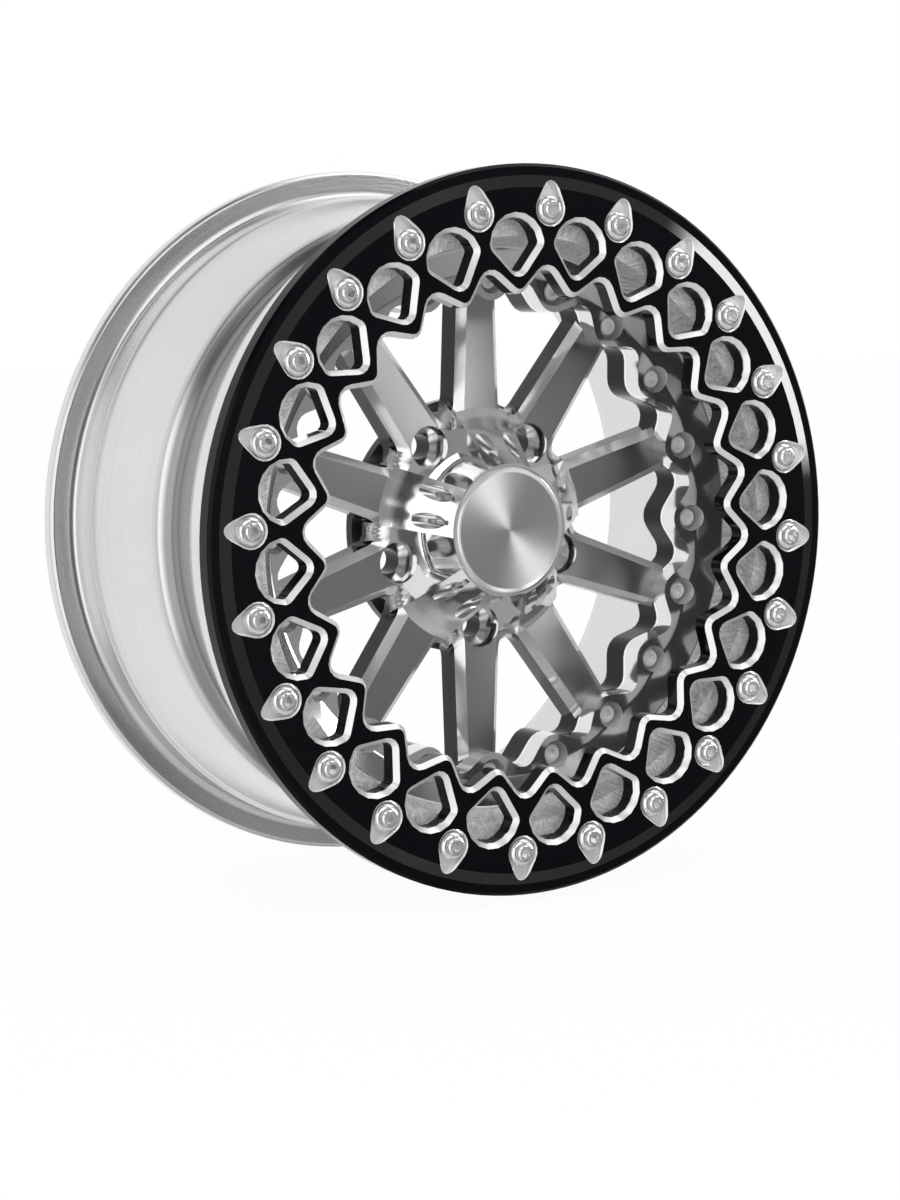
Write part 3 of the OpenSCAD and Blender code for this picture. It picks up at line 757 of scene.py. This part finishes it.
def world_light(tree):
    """What polished metal sees: white behind the wheel, dark screens and panels in front"""
    coords = tree.nodes.new("ShaderNodeTexCoord")
    split = tree.nodes.new("ShaderNodeSeparateXYZ")
    tree.links.new(coords.outputs["Generated"], split.inputs[0])
    x, y, z = split.outputs
    degree = 180.0 / math.pi
    azimuth = maths(tree, "MULTIPLY", maths(tree, "ARCTAN2", x, maths(tree, "MULTIPLY", y, -1.0)),
                    degree)
    elevation = maths(tree, "MULTIPLY", maths(tree, "ARCSINE", z), degree)
    level = ramp(tree, maths(tree, "ABSOLUTE", azimuth), BACK_START, BACK_FULL,
                 bpy.context.scene.studio_setup.dark_level, 1.0)
    left = ramp(tree, azimuth, LEFT_FULL, LEFT_END, LEFT_LEVEL, 0.0)
    high = ramp(tree, elevation, HIGH_START, HIGH_END, 1.0, HIGH_SHARE)
    level = maths(tree, "MULTIPLY", maths(tree, "MAXIMUM", level, left), high)
    for middle, rise, half_w, half_h, soft, power in PANELS:
        across = window(tree, azimuth, middle - half_w, middle + half_w, soft)
        up = window(tree, elevation, rise - half_h, rise + half_h, soft)
        patch = maths(tree, "MULTIPLY", maths(tree, "MULTIPLY", across, up), power)
        level = maths(tree, "MAXIMUM", level, patch)
    return level


def lamp(name, place, target, size_x, size_y, power):
    """A rectangular soft lamp that looks at a point"""
    remove_old(name)
    data = bpy.data.lights.new(name, "AREA")
    data.shape = "RECTANGLE"
    data.size = size_x
    data.size_y = size_y
    data.energy = power
    obj = bpy.data.objects.new(name, data)
    obj.location = place
    obj.rotation_euler = (Vector(target) - Vector(place)).to_track_quat("-Z", "Y").to_euler()
    bpy.context.scene.collection.objects.link(obj)
    return obj


def make_floor(side):
    """A pale floor under the wheel, out of its reflections"""
    bm = bmesh.new()
    bmesh.ops.create_grid(bm, x_segments=1, y_segments=1, size=0.5)
    bmesh.ops.scale(bm, vec=(side, side, 1.0), verts=bm.verts)
    bmesh.ops.translate(bm, vec=(0.0, 0.0, FLOOR_Z), verts=bm.verts)
    floor = keep_mesh("floor", bm)
    floor.data.materials.append(stage_material("floor_white", (0.95, 0.95, 0.95), 0.95))
    floor.visible_glossy = False


def make_world(level):
    """White to the camera, even to matte surfaces and painted by direction to polished ones"""
    world = bpy.data.worlds.new("studio_world")
    bpy.context.scene.world = world
    world.use_nodes = True
    tree = world.node_tree
    back = tree.nodes["Background"]
    path = tree.nodes.new("ShaderNodeLightPath")
    shine = mix_value(tree, path.outputs["Is Glossy Ray"], level, world_light(tree))
    tree.links.new(mix_value(tree, path.outputs["Is Camera Ray"], shine, 1.0),
                   back.inputs["Strength"])
    back.inputs["Color"].default_value = (1.0, 1.0, 1.0, 1.0)


def make_camera():
    """The camera of the photograph"""
    data = bpy.data.cameras.new("photo_camera")
    data.sensor_fit = "VERTICAL"
    data.sensor_height = 36.0
    data.lens = CAMERA_LENS
    camera = bpy.data.objects.new("photo_camera", data)
    turn = (Matrix.Rotation(math.radians(CAMERA_AZIMUTH), 4, "Z")
            @ Matrix.Rotation(math.radians(90.0 - CAMERA_ELEVATION), 4, "X")
            @ Matrix.Rotation(math.radians(CAMERA_ROLL), 4, "Z"))
    camera.matrix_world = Matrix.Translation(CAMERA_PLACE) @ turn
    bpy.context.scene.collection.objects.link(camera)
    bpy.context.scene.camera = camera


class WHEEL_OT_studio(bpy.types.Operator):
    """Set up the floor, lamp, world and camera"""

    bl_idname = "wheel.studio"
    bl_label = "Studio"

    def execute(self, context):
        setup = context.scene.studio_setup
        make_floor(setup.floor_size)
        key = lamp("key_lamp", KEY_PLACE, (0.0, 0.0, 0.0), *KEY_SIZE, setup.key_power)
        key.visible_glossy = False
        make_world(setup.world_level)
        make_camera()
        context.scene.view_settings.view_transform = "Standard"
        return {"FINISHED"}


PIECES = (WHEEL_OT_barrel, WHEEL_OT_centre, WHEEL_OT_clamp_ring, WHEEL_OT_bolts, WHEEL_OT_cap,
          WHEEL_OT_valve, WHEEL_OT_studio)


class WHEEL_PT_panel(bpy.types.Panel):
    """Lists the wheel's pieces and their settings"""

    bl_idname = "WHEEL_PT_panel"
    bl_label = "Bead-lock wheel"
    bl_space_type = "VIEW_3D"
    bl_region_type = "UI"
    bl_category = "Wheel"

    def draw(self, context):
        layout = self.layout
        for settings in (context.scene.wheel_finish, context.scene.studio_setup):
            box = layout.box()
            for name in settings.__annotations__:
                box.prop(settings, name)
        for piece in PIECES:
            layout.operator(piece.bl_idname)


CLASSES = (WheelFinish, StudioSetup, *PIECES, WHEEL_PT_panel)


def register():
    for cls in CLASSES:
        bpy.utils.register_class(cls)
    bpy.types.Scene.wheel_finish = bpy.props.PointerProperty(type=WheelFinish)
    bpy.types.Scene.studio_setup = bpy.props.PointerProperty(type=StudioSetup)


def unregister():
    del bpy.types.Scene.studio_setup
    del bpy.types.Scene.wheel_finish
    for cls in reversed(CLASSES):
        bpy.utils.unregister_class(cls)


def main():
    register()
    bpy.ops.wheel.barrel()
    bpy.ops.wheel.centre()
    bpy.ops.wheel.clamp_ring()
    bpy.ops.wheel.bolts()
    bpy.ops.wheel.cap()
    bpy.ops.wheel.valve()
    bpy.ops.wheel.studio()


if __name__ == "__main__":
    main()
